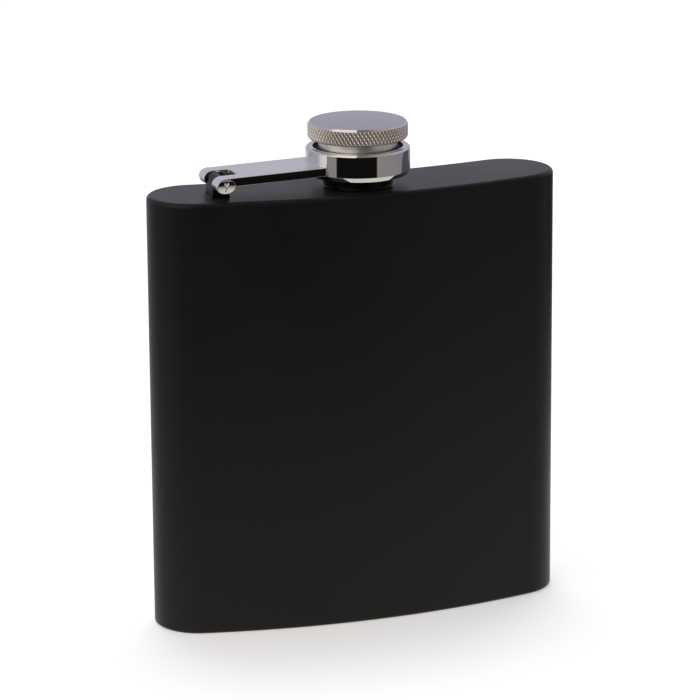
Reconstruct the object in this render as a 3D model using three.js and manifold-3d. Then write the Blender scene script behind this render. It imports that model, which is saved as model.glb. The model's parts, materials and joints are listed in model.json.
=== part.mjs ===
// Pocket hip flask with a captive screw cap. Millimetres, +Z up.
// The origin is on the underside of the bottom plate, straight below the cap's axis. X runs along
// the width, -Y faces the convex front and +Y the concave back. Heights of the closure are
// measured from the top plate, in a group that stands on it.
import * as THREE from "three";
import { mergeVertices } from "three/addons/utils/BufferGeometryUtils.js";
import Module from "manifold-3d";

const wasm = await Module();
wasm.setup();

// ---- Fits ----
const joinGap = 0.3; // between two pieces that are welded, brazed or pressed together
const runGap = 0.3; // around a piece that turns or slides

// ---- Body ----
const bodyWidth = 92;
const bodyDepth = 21.5; // front to back at the middle
const bodyHeight = 95.6;
const frontRadius = 162; // convex front
const backRadius = 215; // concave back
const wall = 0.6;
const topEdge = 1.0; // rounding of the top plate's edge
const bottomEdge = 0.8;
const flange = 4; // turned rim of the top and bottom plates
const edgeSteps = 3;
const longSteps = 18; // facets of the front arc, and of the back arc
const quarterSteps = 6; // facets of a quarter of an end

// ---- Neck: a turned bush, welded to the top plate ----
const spoutRadius = 5.9; // at the root of the thread
const spoutWall = 0.9;
const spoutHeight = 9.3;
const shoulderStep = 1.6; // the shoulder stands out this far from the spout
const shoulderHeight = 3.0;
const spigotDrop = 1.6; // below the top plate's face
const mouthChamfer = 0.3;

// ---- Thread: right-handed, so the cap rises as it turns anticlockwise seen from above ----
const threadPitch = 1.4;
const threadDepth = 0.6;
const ridgeRoot = 0.6; // axial width of a ridge at its root
const ridgeCrest = 0.3;
const ridgeSink = 0.15; // how far a ridge's foot runs into its wall
const neckThreadBase = 5.9;
const neckTurns = 1.4;
const linerTurns = 1.2;
const unscrewTurns = 1.5; // from tight to free
const roundSteps = 40; // facets round a full circle, and of a thread in one turn

// ---- Cap ----
const linerWall = 0.5; // behind the thread's root
const gasketThickness = 1.0;
const skirtWall = 0.95;
const headOverhang = 2.25; // knurled head beyond the skirt
const headBase = 10.4; // underside of the head
const knurlHeight = 3.1;
const headFoot = 0.35; // chamfer under the knurl
const headChamfer = 0.55;
const headDome = 0.65;

// ---- Snap ring on the skirt's foot, which keeps the cap in the captive ring ----
const skirtLand = 0.4; // below the groove
const grooveDepth = 0.5;
const snapThickness = 0.6;
const snapReach = 0.85; // beyond the skirt
const snapSplit = 2.5; // width of the opening in the ring

// ---- Captive ring ----
const ringBase = 2.65;
const ringHeight = 5.95;
const ringWall = 1.55;
const ringChamfer = 0.4; // on the outer edge of the ring's top
const ringFoot = 1.0; // height of the steep bevel on its bottom edge
const ringFootDepth = 0.45;
const lipThickness = 0.6;

// ---- Arm and hinge ----
const hingeReach = 31.7; // cap axis to pin axis
const pinHeight = 3.3; // pin axis above the top plate
const pinRadius = 0.8;
const pinHeadRadius = 1.35;
const pinHeadHeight = 0.5;
const knuckleLength = 2.1; // the ears' oval ends, from the pin axis to their nose
const knuckleHeight = 1.65; // and from the pin axis to their top
const armWidth = 12.4;
const armThickness = 1.9;
const armRise = THREE.MathUtils.degToRad(1.5); // the arm climbs towards the ring
const slotWidth = 5.6; // between the arm's two ears
const slotReach = 3.5; // pin axis to the slot's closed end
const lugInset = 0.2; // the lug's knuckle is this much lower than the ears
const lugFoot = 2.0; // half the length of the lug's foot
const knuckleSteps = 12;

// ---- Sizes that follow from the ones above ----
const crestRadius = spoutRadius + threadDepth;
const linerRoot = crestRadius + runGap;
const linerCrest = linerRoot - threadDepth;
const linerOuter = linerRoot + linerWall;
const skirtInner = linerOuter + joinGap;
const skirtRadius = skirtInner + skirtWall;
const skirtBase = shoulderHeight + runGap;
const grooveRadius = skirtRadius - grooveDepth;
const snapBase = skirtBase + skirtLand + runGap;
const snapTop = snapBase + snapThickness;
const snapRadius = skirtRadius + snapReach;
const lift = threadPitch * unscrewTurns;
const lipBase = snapTop + lift + runGap;
const wellRadius = snapRadius + runGap;
const ringRadius = wellRadius + ringWall;
const headRadius = skirtRadius + headOverhang;
const gasketBase = spoutHeight + joinGap;
const cavityTop = gasketBase + gasketThickness + joinGap;
const headTop = headBase + knurlHeight + headChamfer;

// ---- Finishes ----
const blackPaint = new THREE.MeshStandardMaterial({ color: 0x1a1a1b, roughness: 0.55, metalness: 0 });
const polished = new THREE.MeshStandardMaterial({ color: 0xcfcfd2, roughness: 0.08, metalness: 1 });
const brushed = new THREE.MeshStandardMaterial({ color: 0xc2c2c6, roughness: 0.32, metalness: 1 });
const knurled = new THREE.MeshStandardMaterial({ color: 0xb9b6b2, roughness: 0.3, metalness: 1 });
const nylon = new THREE.MeshStandardMaterial({ color: 0xe6e5df, roughness: 0.6, metalness: 0 });
const silicone = new THREE.MeshStandardMaterial({ color: 0xd8d8d4, roughness: 0.7, metalness: 0 });

// ---- Solids ----

// A closed geometry as a solid that can be joined and cut.
function solid(geometry) {
  const bare = geometry.clone();
  bare.deleteAttribute("normal");
  bare.deleteAttribute("uv");
  const merged = mergeVertices(bare, 1e-4);
  return new wasm.Manifold(
    new wasm.Mesh({
      numProp: 3,
      vertProperties: merged.attributes.position.array,
      triVerts: new Uint32Array(merged.index.array),
    }),
  );
}

function geometryOf(made) {
  const mesh = made.getMesh();
  const geometry = new THREE.BufferGeometry();
  geometry.setAttribute("position", new THREE.BufferAttribute(mesh.vertProperties, 3));
  geometry.setIndex(new THREE.BufferAttribute(mesh.triVerts, 1));
  geometry.computeVertexNormals();
  return geometry;
}

function piece(name, made, material) {
  const mesh = new THREE.Mesh(geometryOf(made), material);
  mesh.name = name;
  return mesh;
}

// A profile of [radius, height] pairs turned about Z, anticlockwise with the axis on its left.
function turned(profile) {
  const points = profile.map(([r, z]) => new THREE.Vector2(r, z));
  return new THREE.LatheGeometry(points, roundSteps).rotateX(Math.PI / 2);
}

// The same for a profile that closes on itself, such as a ring's section.
function turnedRing(section) {
  return turned([...section, section[0]]);
}

function rodAlongZ(radius, low, high) {
  return turned([[0, low], [radius, low], [radius, high], [0, high]]);
}

function rodAlongY(radius, length) {
  return rodAlongZ(radius, -length / 2, length / 2).rotateX(Math.PI / 2);
}

// A side view in X and Z, made into a plate of the given width across Y.
function plateAcrossY(shape, width) {
  const options = { depth: width, bevelEnabled: false, curveSegments: knuckleSteps };
  return new THREE.ExtrudeGeometry(shape, options).rotateX(Math.PI / 2).translate(0, width / 2, 0);
}

// ---- Body outline ----

// The radius of the full-round ends that touch both the front and the back arc, and the
// distance of their centres behind the front's middle.
function roundEnd() {
  const half = bodyWidth / 2;
  const fromFront = (r) =>
    frontRadius - Math.sqrt((frontRadius - half) * (frontRadius + half - 2 * r));
  const fromBack = (r) =>
    bodyDepth + backRadius - Math.sqrt((backRadius + half) * (backRadius - half + 2 * r));
  let low = 0;
  let high = Math.min(bodyDepth, half);
  for (let i = 0; i < 50; i += 1) {
    const middle = (low + high) / 2;
    if (fromFront(middle) < fromBack(middle)) low = middle;
    else high = middle;
  }
  return { radius: low, behind: fromFront(low) };
}

const end = roundEnd();

// Points along an arc, from its first angle up to just before its last. Angles run from
// straight forward (-Y) and grow anticlockwise seen from above.
function arcPoints(x, y, radius, first, last, steps) {
  return Array.from({ length: steps }, (_, i) => {
    const angle = first + ((last - first) * i) / steps;
    return [x + radius * Math.sin(angle), y - radius * Math.cos(angle)];
  });
}

// The kidney outline, moved in by inset, anticlockwise seen from above. Each end is split where
// it reaches furthest to the side and furthest back, so that the facets keep the full size.
function outline(inset) {
  const endX = bodyWidth / 2 - end.radius;
  const endY = end.behind - bodyDepth / 2;
  const frontY = frontRadius - bodyDepth / 2;
  const backY = backRadius + bodyDepth / 2;
  const front = Math.asin(endX / (frontRadius - end.radius));
  const back = Math.asin(endX / (backRadius + end.radius));
  const quarter = Math.PI / 2;
  const round = end.radius - inset;
  return [
    ...arcPoints(0, frontY, frontRadius - inset, -front, front, longSteps),
    ...arcPoints(endX, endY, round, front, quarter, quarterSteps - 1),
    ...arcPoints(endX, endY, round, quarter, 2 * quarter, quarterSteps),
    ...arcPoints(endX, endY, round, 2 * quarter, 2 * quarter + back, 1),
    ...arcPoints(0, backY, backRadius + inset, back, -back, longSteps),
    ...arcPoints(-endX, endY, round, 2 * quarter - back, 2 * quarter, 1),
    ...arcPoints(-endX, endY, round, 2 * quarter, 3 * quarter, quarterSteps),
    ...arcPoints(-endX, endY, round, 3 * quarter, 4 * quarter - front, quarterSteps - 1),
  ];
}

// Rings of the outline at [inset, height] levels, joined one to the next. An open chain gets a
// flat lid at both ends, and a closed one joins its last ring to its first.
function stacked(levels, closed) {
  const rings = levels.map(([inset, z]) => outline(inset).map(([x, y]) => [x, y, z]));
  const count = rings[0].length;
  const joins = closed ? rings.length : rings.length - 1;
  const faces = [];
  for (let i = 0; i < joins; i += 1) {
    const here = i * count;
    const next = ((i + 1) % rings.length) * count;
    for (let k = 0; k < count; k += 1) {
      const turn = (k + 1) % count;
      faces.push(here + k, here + turn, next + turn, here + k, next + turn, next + k);
    }
  }
  if (!closed) {
    const flat = rings[0].map(([x, y]) => new THREE.Vector2(x, y));
    const lid = THREE.ShapeUtils.triangulateShape(flat, []);
    const top = (rings.length - 1) * count;
    lid.forEach(([a, b, c]) => faces.push(a, c, b, top + a, top + b, top + c));
  }
  const geometry = new THREE.BufferGeometry();
  geometry.setAttribute("position", new THREE.Float32BufferAttribute(rings.flat(2), 3));
  geometry.setIndex(faces);
  return geometry;
}

// Quarter-round levels from a wall that stands to a face that lies flat at height zero.
function roundedLevels(edge, radius, depth) {
  return Array.from({ length: edgeSteps + 1 }, (_, i) => {
    const angle = (Math.PI / 2) * (i / edgeSteps);
    return [edge - radius * Math.cos(angle), -depth - radius + radius * Math.sin(angle)];
  });
}

// A stamped plate with a rounded edge and a turned-down rim, its outer face at height zero.
function stampedPlate(edge) {
  const inside = Math.max(edge, wall) - wall;
  const outer = roundedLevels(edge, edge, 0);
  const inner = inside > 0 ? roundedLevels(edge, inside, wall) : [[wall, -wall]];
  return stacked([...inner.reverse(), [wall, -flange], [0, -flange], ...outer], false);
}

// ---- Thread ridges ----

// A trapezoid ridge on a right-handed helix. It stands from foot radius to crest radius, and
// height is its centre where it starts. The bar is bent round with its far end first, which
// keeps its faces outward.
function ridge(foot, crest, height, turns) {
  const away = Math.sign(crest - foot);
  const shape = new THREE.Shape([
    new THREE.Vector2(foot - away * ridgeSink, -ridgeRoot / 2),
    new THREE.Vector2(foot, -ridgeRoot / 2),
    new THREE.Vector2(crest, -ridgeCrest / 2),
    new THREE.Vector2(crest, ridgeCrest / 2),
    new THREE.Vector2(foot, ridgeRoot / 2),
    new THREE.Vector2(foot - away * ridgeSink, ridgeRoot / 2),
  ]);
  const steps = Math.round(turns * roundSteps);
  const bar = new THREE.ExtrudeGeometry(shape, { depth: turns, steps, bevelEnabled: false });
  const places = bar.attributes.position;
  for (let i = 0; i < places.count; i += 1) {
    const radius = places.getX(i);
    const turn = turns - places.getZ(i);
    const angle = 2 * Math.PI * turn;
    const z = height + places.getY(i) + threadPitch * turn;
    places.setXYZ(i, radius * Math.cos(angle), radius * Math.sin(angle), z);
  }
  return bar;
}

// ---- Flask ----

function bodyShell() {
  const bottom = flange + joinGap;
  const top = bodyHeight - flange - joinGap;
  return solid(stacked([[0, bottom], [0, top], [wall, top], [wall, bottom]], true));
}

function topPlate() {
  const hole = rodAlongZ(spoutRadius + joinGap, -bodyDepth, bodyDepth);
  return solid(stampedPlate(topEdge)).subtract(solid(hole));
}

function neck() {
  const bore = spoutRadius - spoutWall;
  const shoulder = spoutRadius + shoulderStep;
  const bush = turnedRing([
    [bore, -spigotDrop],
    [spoutRadius, -spigotDrop],
    [spoutRadius, joinGap],
    [shoulder, joinGap],
    [shoulder, shoulderHeight - mouthChamfer],
    [shoulder - mouthChamfer, shoulderHeight],
    [spoutRadius, shoulderHeight],
    [spoutRadius, spoutHeight - mouthChamfer],
    [spoutRadius - mouthChamfer, spoutHeight],
    [bore, spoutHeight],
  ]);
  return solid(bush).add(solid(ridge(spoutRadius, crestRadius, neckThreadBase, neckTurns)));
}

// A knuckle round the pin on a foot that stands on the top plate, in the pin's frame.
function hingeLug() {
  const radius = knuckleHeight - lugInset;
  const foot = joinGap - pinHeight;
  const shape = new THREE.Shape();
  shape.moveTo(-lugFoot, foot);
  shape.lineTo(lugFoot, foot);
  shape.lineTo(radius, 0);
  shape.absarc(0, 0, radius, 0, Math.PI, false);
  shape.lineTo(-lugFoot, foot);
  const block = plateAcrossY(shape, slotWidth - 2 * runGap);
  return solid(block).subtract(solid(rodAlongY(pinRadius + runGap, armWidth)));
}

// ---- Arm, pin and captive ring ----

// The forked bar, in the pin's frame: two ears round the pin, and a far end that follows the ring.
function captiveArm() {
  const underside = knuckleHeight - armThickness;
  const belly = Math.asin(underside / knuckleHeight);
  const shape = new THREE.Shape();
  shape.absellipse(0, 0, knuckleLength, knuckleHeight, Math.PI / 2, 1.5 * Math.PI, false);
  shape.absellipse(0, 0, knuckleLength, knuckleHeight, 1.5 * Math.PI, 2 * Math.PI + belly, false);
  shape.lineTo(hingeReach, underside);
  shape.lineTo(hingeReach, knuckleHeight);
  const bar = plateAcrossY(shape, armWidth).rotateY(-armRise);
  const slot = new THREE.BoxGeometry(slotReach + 2 * knuckleLength, slotWidth, 8 * knuckleLength);
  slot.translate(slotReach / 2 - knuckleLength, 0, 0);
  const round = rodAlongZ(ringRadius + joinGap, -ringRadius, ringRadius);
  return solid(bar)
    .subtract(solid(slot))
    .subtract(solid(rodAlongY(pinRadius + joinGap, 2 * armWidth)))
    .subtract(solid(round.translate(hingeReach, 0, 0)));
}

// A rivet-like pin with a low domed head on each ear, in the pin's frame.
function hingePin() {
  const face = armWidth / 2 + joinGap;
  const rim = pinHeadHeight / 2;
  const profile = [
    [0, -face - pinHeadHeight],
    [pinHeadRadius * 0.6, -face - pinHeadHeight + rim * 0.3],
    [pinHeadRadius, -face - rim],
    [pinHeadRadius, -face],
    [pinRadius, -face],
    [pinRadius, face],
    [pinHeadRadius, face],
    [pinHeadRadius, face + rim],
    [pinHeadRadius * 0.6, face + pinHeadHeight - rim * 0.3],
    [0, face + pinHeadHeight],
  ];
  return solid(turned(profile).rotateX(Math.PI / 2));
}

function captiveRing() {
  const top = ringBase + ringHeight;
  const lipTop = lipBase + lipThickness;
  const lipRadius = skirtRadius + runGap;
  return solid(
    turnedRing([
      [wellRadius, ringBase],
      [ringRadius - ringFootDepth, ringBase],
      [ringRadius, ringBase + ringFoot],
      [ringRadius, top - ringChamfer],
      [ringRadius - ringChamfer, top],
      [wellRadius, top],
      [wellRadius, lipTop],
      [lipRadius, lipTop],
      [lipRadius, lipBase],
      [wellRadius, lipBase],
    ]),
  );
}

// ---- Cap ----

function snapRing() {
  const inner = grooveRadius + joinGap;
  const band = turnedRing([
    [inner, snapBase],
    [snapRadius, snapBase],
    [snapRadius, snapTop],
    [inner, snapTop],
  ]);
  const opening = new THREE.BoxGeometry(2 * skirtRadius, snapSplit, 4 * snapThickness);
  opening.translate(skirtRadius, 0, snapTop);
  return solid(band).subtract(solid(opening));
}

function capHead() {
  const grooveBase = skirtBase + skirtLand;
  const grooveTop = snapTop + runGap;
  const knurlTop = headBase + knurlHeight;
  return solid(
    turned([
      [0, cavityTop],
      [skirtInner, cavityTop],
      [skirtInner, skirtBase],
      [skirtRadius, skirtBase],
      [skirtRadius, grooveBase],
      [grooveRadius, grooveBase],
      [grooveRadius, grooveTop],
      [skirtRadius, grooveTop],
      [skirtRadius, headBase],
      [headRadius - headFoot, headBase],
      [headRadius, headBase + headFoot],
      [headRadius, knurlTop],
      [headRadius - headChamfer, headTop],
      [headRadius / 2, headTop + headDome * 0.75],
      [0, headTop + headDome],
    ]),
  );
}

function capLiner() {
  const base = skirtBase + joinGap;
  const sleeve = turnedRing([
    [linerRoot, base],
    [linerOuter, base],
    [linerOuter, spoutHeight],
    [linerRoot, spoutHeight],
  ]);
  const between = neckThreadBase + threadPitch / 2;
  return solid(sleeve).add(solid(ridge(linerRoot, linerCrest, between, linerTurns)));
}

function capGasket() {
  return solid(rodAlongZ(linerOuter, gasketBase, gasketBase + gasketThickness));
}

// ---- Assembly ----

const hipFlask = new THREE.Group();

const bottomPlate = piece("bottom_plate", solid(stampedPlate(bottomEdge)), blackPaint);
bottomPlate.rotation.y = Math.PI;
hipFlask.add(piece("body_shell", bodyShell(), blackPaint), bottomPlate);

const closure = new THREE.Group();
closure.position.z = bodyHeight;
closure.add(
  piece("top_plate", topPlate(), blackPaint),
  piece("neck", neck(), blackPaint),
  piece("captive_ring", captiveRing(), polished),
  piece("snap_ring", snapRing(), polished),
  piece("cap_head", capHead(), knurled),
  piece("cap_liner", capLiner(), nylon),
  piece("cap_gasket", capGasket(), silicone),
);

const hinge = new THREE.Group();
hinge.position.set(-hingeReach, 0, pinHeight);
hinge.add(
  piece("hinge_lug", hingeLug(), blackPaint),
  piece("hinge_pin", hingePin(), polished),
  piece("captive_arm", captiveArm(), brushed),
);
closure.add(hinge);
hipFlask.add(closure);

export default hipFlask;
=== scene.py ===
import json
import math

import bpy
import numpy as np
from mathutils import Matrix, Vector


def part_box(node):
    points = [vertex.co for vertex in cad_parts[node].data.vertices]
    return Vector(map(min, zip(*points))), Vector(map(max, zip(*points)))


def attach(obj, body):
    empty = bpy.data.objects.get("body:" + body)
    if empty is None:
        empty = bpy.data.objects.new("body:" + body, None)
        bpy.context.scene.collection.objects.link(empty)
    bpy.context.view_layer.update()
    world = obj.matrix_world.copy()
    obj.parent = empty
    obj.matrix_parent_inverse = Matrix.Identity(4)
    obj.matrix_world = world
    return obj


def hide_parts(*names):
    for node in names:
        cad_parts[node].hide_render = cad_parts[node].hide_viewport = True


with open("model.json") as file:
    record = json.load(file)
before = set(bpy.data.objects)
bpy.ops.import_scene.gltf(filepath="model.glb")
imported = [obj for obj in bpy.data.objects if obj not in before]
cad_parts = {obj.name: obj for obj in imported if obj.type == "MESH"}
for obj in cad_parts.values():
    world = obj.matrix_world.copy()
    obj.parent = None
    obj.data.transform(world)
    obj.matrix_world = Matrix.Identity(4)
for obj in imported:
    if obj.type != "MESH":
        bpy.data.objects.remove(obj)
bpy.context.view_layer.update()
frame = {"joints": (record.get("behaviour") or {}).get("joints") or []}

MM = 0.001


def corners(node):
    """The lowest and highest corner of a CAD node, in millimetres."""
    low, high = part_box(node)
    return low / MM, high / MM


def joint(name):
    return next(j for j in frame["joints"] if j["name"] == name)


# ---- Sizes read from the frame ----
SLEEVE_LOW, SLEEVE_HIGH = corners("body_shell")
HALF_WIDTH = SLEEVE_HIGH.x
HALF_DEPTH = -SLEEVE_LOW.y
PLATE = corners("top_plate")[1].z
RING_LOW, RING_HIGH = corners("captive_ring")
RING_RADIUS = RING_HIGH.x
RING_BASE = RING_LOW.z - PLATE
RING_TOP = RING_HIGH.z - PLATE
HEAD_LOW, HEAD_HIGH = corners("cap_head")
HEAD_RADIUS = HEAD_HIGH.x
SKIRT_BASE = HEAD_LOW.z - PLATE
DOME_TOP = HEAD_HIGH.z - PLATE
NECK_LOW, NECK_HIGH = corners("neck")
SHOULDER_RADIUS = NECK_HIGH.x
SPOUT_TOP = NECK_HIGH.z - PLATE
LINER_RADIUS = corners("cap_liner")[1].x
LINER_BASE = corners("cap_liner")[0].z - PLATE
GASKET_LOW, GASKET_HIGH = corners("cap_gasket")
SNAP_LOW, SNAP_HIGH = corners("snap_ring")
ARM_HALF = corners("captive_arm")[1].y
LUG_HIGH = corners("hinge_lug")[1]
PIN_AXIS = Vector(joint("arm_hinge")["pos_m"]) / MM

# ---- Sizes inside the outlines, as the CAD source has them ----
FRONT_RADIUS = 162.0
BACK_RADIUS = 215.0
WALL = 0.6
TOP_EDGE = 1.0
BOTTOM_EDGE = 0.8
NECK_CLEARANCE = 0.3  # between the spout and the hole in the top plate
FLANGE = 4.15  # where a plate's rim meets the sleeve: the middle of the weld
SPOUT_RADIUS = 5.9
BORE_RADIUS = 5.0
SHOULDER_TOP = 3.0
THREAD_PITCH = 1.4
THREAD_DEPTH = 0.6
THREAD_FADE = 12  # a ridge dies out over one part in this many of a turn at each end
THREAD_ROW = 0.08
RIDGE_ROOT = 0.6
RIDGE_CREST = 0.3
NECK_THREAD_BASE = 5.9
NECK_TURNS = 1.4
LINER_TURNS = 1.2
LINER_ROOT = 6.8
SKIRT_INNER = 7.6
SKIRT_RADIUS = 8.55
GROOVE_RADIUS = 8.05
SKIRT_LAND = 0.4
SKIRT_TAPER = 0.28  # the skirt narrows this much between the ring and the head
CAVITY_TOP = 10.9
HEAD_BASE = 10.4
KNURL_TOP = 13.5
HEAD_TOP = 14.05
HEAD_FOOT = 0.35
HEAD_CHAMFER = 0.55
HEAD_COVE = 0.25  # where the skirt runs out into the head's underside
LIP_RADIUS = 8.85
LIP_BASE = 7.0
LIP_TOP = 7.6
WELL_RADIUS = 9.7
SNAP_INNER = 8.35
SNAP_SPLIT = 2.5
RING_CHAMFER = 0.4
RING_FOOT = 1.0
RING_FOOT_DEPTH = 0.45
KNUCKLE_LENGTH = 2.1
KNUCKLE_HEIGHT = 1.65
ARM_THICKNESS = 1.9
ARM_RISE = math.radians(1.5)
SLOT_HALF = 2.8
SLOT_REACH = 3.5
ARM_BURIED = 0.35  # how deep the arm's end sits in the collar, under the braze
PIN_RADIUS = 0.8
PIN_HEAD_LENGTH = 2.0  # the peened head spreads over the ear's oval end
PIN_HEAD_HEIGHT = 1.56
PIN_HEAD_RISE = 0.5
PIN_HEAD_EDGE = 0.1  # how far its rim stands off the ear
PIN_HEAD_FALL = 0.12  # the share of its rise that is lost at its two ends
PIN_HEAD_CREST = 0.35  # its highest line is this share of the way up, so most of it faces down

# ---- Knurl ----
KNURL_GROOVES = 78
KNURL_SLANT = math.radians(32)  # between a groove and the cap's axis
KNURL_DEEP = 0.3  # the family of grooves that was rolled deeper
KNURL_SHALLOW = 0.23
KNURL_FLANK = 1.25  # how steeply a groove's sides rise, which leaves a narrow land between grooves
KNURL_STEPS = 1248
KNURL_ROW = 0.08

# ---- Mesh making ----


SEAM_ANGLE = math.radians(60)


def piece(
    name, places, faces, materials, body, stands_for=(), face_materials=None, seams=False
):
    """Makes a mesh object in the frame from places in millimetres, riding on a body.

    seams keeps square corners sharp, so that two pieces welded edge to edge shade as one."""
    mesh = bpy.data.meshes.new(name)
    mesh.from_pydata((np.asarray(places, float) * MM).tolist(), [], faces)
    mesh.validate()
    for material in materials:
        mesh.materials.append(material)
    if face_materials is not None:
        mesh.polygons.foreach_set("material_index", face_materials)
    mesh.shade_smooth()
    if seams:
        mesh.set_sharp_from_angle(angle=SEAM_ANGLE)
    made = bpy.data.objects.new(name, mesh)
    bpy.context.scene.collection.objects.link(made)
    weigh = made.modifiers.new("even_normals", "WEIGHTED_NORMAL")
    weigh.weight = 100
    weigh.keep_sharp = True
    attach(made, body)
    if stands_for:
        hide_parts(*stands_for)


def rounded(points, radius, closed=True, steps=4):
    """A section with each corner rounded, as far as its sides allow."""
    found = []
    count = len(points)
    for i, corner in enumerate(points):
        here = np.array(corner, float)
        if not closed and i in (0, count - 1):
            found.append(tuple(here))
            continue
        before = np.array(points[i - 1], float) - here
        after = np.array(points[(i + 1) % count], float) - here
        a, b = np.linalg.norm(before), np.linalg.norm(after)
        turn = math.acos(max(-1.0, min(1.0, float(before @ after) / (a * b))))
        reach = min(radius / math.tan(turn / 2), 0.45 * a, 0.45 * b)
        if reach < 1e-4:
            found.append(tuple(here))
            continue
        start, stop = here + before / a * reach, here + after / b * reach
        for k in range(steps + 1):
            t = k / steps
            found.append(tuple((1 - t) ** 2 * start + 2 * t * (1 - t) * here + t * t * stop))
    return found


def revolve(profile, steps, closed=True, radius_at=None, turn=None):
    """Places and faces of a profile of (radius, height) turned about the cap's axis.

    radius_at(radius, height, angle) may change the radius of any place. A profile that isn't
    closed starts and ends on the axis. turn limits it to part of a circle, with flat ends."""
    angles = np.arange(steps + (turn is not None)) * ((turn or 2 * math.pi) / steps)
    places, rows = [], []
    for r, z in profile:
        if r < 1e-9:
            rows.append([len(places)])
            places.append((0.0, 0.0, z + PLATE))
            continue
        radii = np.full(len(angles), r) if radius_at is None else radius_at(r, z, angles)
        rows.append(list(range(len(places), len(places) + len(angles))))
        heights = np.full(len(angles), z + PLATE)
        places += np.c_[radii * np.cos(angles), radii * np.sin(angles), heights].tolist()
    faces = []
    spans = range(len(rows)) if closed else range(len(rows) - 1)
    for i in spans:
        here, there = rows[i], rows[(i + 1) % len(rows)]
        for k in range(steps):
            n = (k + 1) % len(angles)
            if len(here) == 1:
                faces.append((here[0], there[n], there[k]))
            elif len(there) == 1:
                faces.append((here[k], here[n], there[0]))
            else:
                faces.append((here[k], here[n], there[n], there[k]))
    if turn is not None:
        faces.append([row[0] for row in reversed(rows)])
        faces.append([row[-1] for row in rows])
    return places, faces


def arc(centre, radius, start, stop, steps):
    """Points on an arc, angles in radians, both ends included."""
    angles = np.linspace(start, stop, steps + 1)
    return [(centre[0] + radius * math.cos(a), centre[1] + radius * math.sin(a)) for a in angles]


# ---- Body outline ----


def round_end():
    """The radius of the round ends that touch both arcs, and how far behind the front they sit."""

    def from_front(r):
        reach = math.sqrt((FRONT_RADIUS - HALF_WIDTH) * (FRONT_RADIUS + HALF_WIDTH - 2 * r))
        return FRONT_RADIUS - reach

    def from_back(r):
        reach = math.sqrt((BACK_RADIUS + HALF_WIDTH) * (BACK_RADIUS - HALF_WIDTH + 2 * r))
        return 2 * HALF_DEPTH + BACK_RADIUS - reach

    low, high = 0.0, 2 * HALF_DEPTH
    for _ in range(50):
        middle = (low + high) / 2
        low, high = (middle, high) if from_front(middle) < from_back(middle) else (low, middle)
    return low, from_front(low)


END_RADIUS, END_BEHIND = round_end()
LONG_STEPS = 72  # facets along the front or the back
END_STEPS = 56


def outline(inset):
    """The kidney outline moved in by inset, anticlockwise seen from above."""
    end_x = HALF_WIDTH - END_RADIUS
    end_y = END_BEHIND - HALF_DEPTH
    front = math.asin(end_x / (FRONT_RADIUS - END_RADIUS))
    back = math.asin(end_x / (BACK_RADIUS + END_RADIUS))
    arcs = (
        (0, FRONT_RADIUS - HALF_DEPTH, FRONT_RADIUS - inset, -front, front, LONG_STEPS),
        (end_x, end_y, END_RADIUS - inset, front, math.pi + back, END_STEPS),
        (0, HALF_DEPTH + BACK_RADIUS, BACK_RADIUS + inset, back, -back, LONG_STEPS),
        (-end_x, end_y, END_RADIUS - inset, math.pi - back, 2 * math.pi - front, END_STEPS),
    )
    found = []
    for x, y, radius, start, stop, steps in arcs:
        for i in range(steps):
            angle = start + (stop - start) * i / steps
            found.append((x + radius * math.sin(angle), y - radius * math.cos(angle)))
    return found


def circle_towards(points, radius):
    """The points of a circle round the cap's axis in the same directions as these points."""
    return [(radius * x / math.hypot(x, y), radius * y / math.hypot(x, y)) for x, y in points]


def stack(rings, closed=True):
    """Places and faces of rings of points, joined one to the next, with lids if not closed."""
    count = len(rings[0])
    places = [p for ring in rings for p in ring]
    faces = []
    for i in range(len(rings) if closed else len(rings) - 1):
        here, there = i * count, ((i + 1) % len(rings)) * count
        for k in range(count):
            n = (k + 1) % count
            faces.append((here + k, here + n, there + n, there + k))
    if not closed:
        top = (len(rings) - 1) * count
        faces.append(list(reversed(range(count))))
        faces.append(list(range(top, top + count)))
    return places, faces


def level(inset, z):
    return [(x, y, z) for x, y in outline(inset)]


def edge_levels(edge, radius, depth, steps=8):
    """(inset, drop) pairs round a rounded edge, from the wall to the flat face."""
    quarter = [math.pi / 2 * i / steps for i in range(steps + 1)]
    return [(edge - radius * math.cos(a), -depth - radius * (1 - math.sin(a))) for a in quarter]


FACE_MARGIN = 0.25  # a ring of the flat face close to its rounded edge, which keeps the face flat


# ---- Materials ----


def new_material(name):
    material = bpy.data.materials.new(name)
    material.use_nodes = True
    nodes = material.node_tree.nodes
    links = material.node_tree.links
    shader = nodes["Principled BSDF"]
    where = nodes.new("ShaderNodeTexCoord").outputs["Object"]
    return material, nodes, links, shader, where


def noise(nodes, links, where, scale, detail, stretch=(1, 1, 1)):
    """A noise value whose features are about 1/scale metres across, stretched per axis."""
    mapping = nodes.new("ShaderNodeMapping")
    mapping.inputs["Scale"].default_value = stretch
    links.new(where, mapping.inputs["Vector"])
    texture = nodes.new("ShaderNodeTexNoise")
    texture.inputs["Scale"].default_value = scale
    texture.inputs["Detail"].default_value = detail
    links.new(mapping.outputs["Vector"], texture.inputs["Vector"])
    return texture.outputs["Fac"]


def ramp(nodes, links, value, low, high, start=0.0, stop=1.0):
    """value's span low..high turned into start..stop, clamped."""
    node = nodes.new("ShaderNodeMapRange")
    for name, number in (("From Min", low), ("From Max", high), ("To Min", start), ("To Max", stop)):
        node.inputs[name].default_value = number
    links.new(value, node.inputs["Value"])
    return node.outputs["Result"]


def tinted(nodes, links, value, dark, light):
    """A colour between dark and light by value."""
    node = nodes.new("ShaderNodeMix")
    node.data_type = "RGBA"
    node.inputs["A"].default_value = (*dark, 1)
    node.inputs["B"].default_value = (*light, 1)
    links.new(value, node.inputs["Factor"])
    return node.outputs["Result"]


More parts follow.
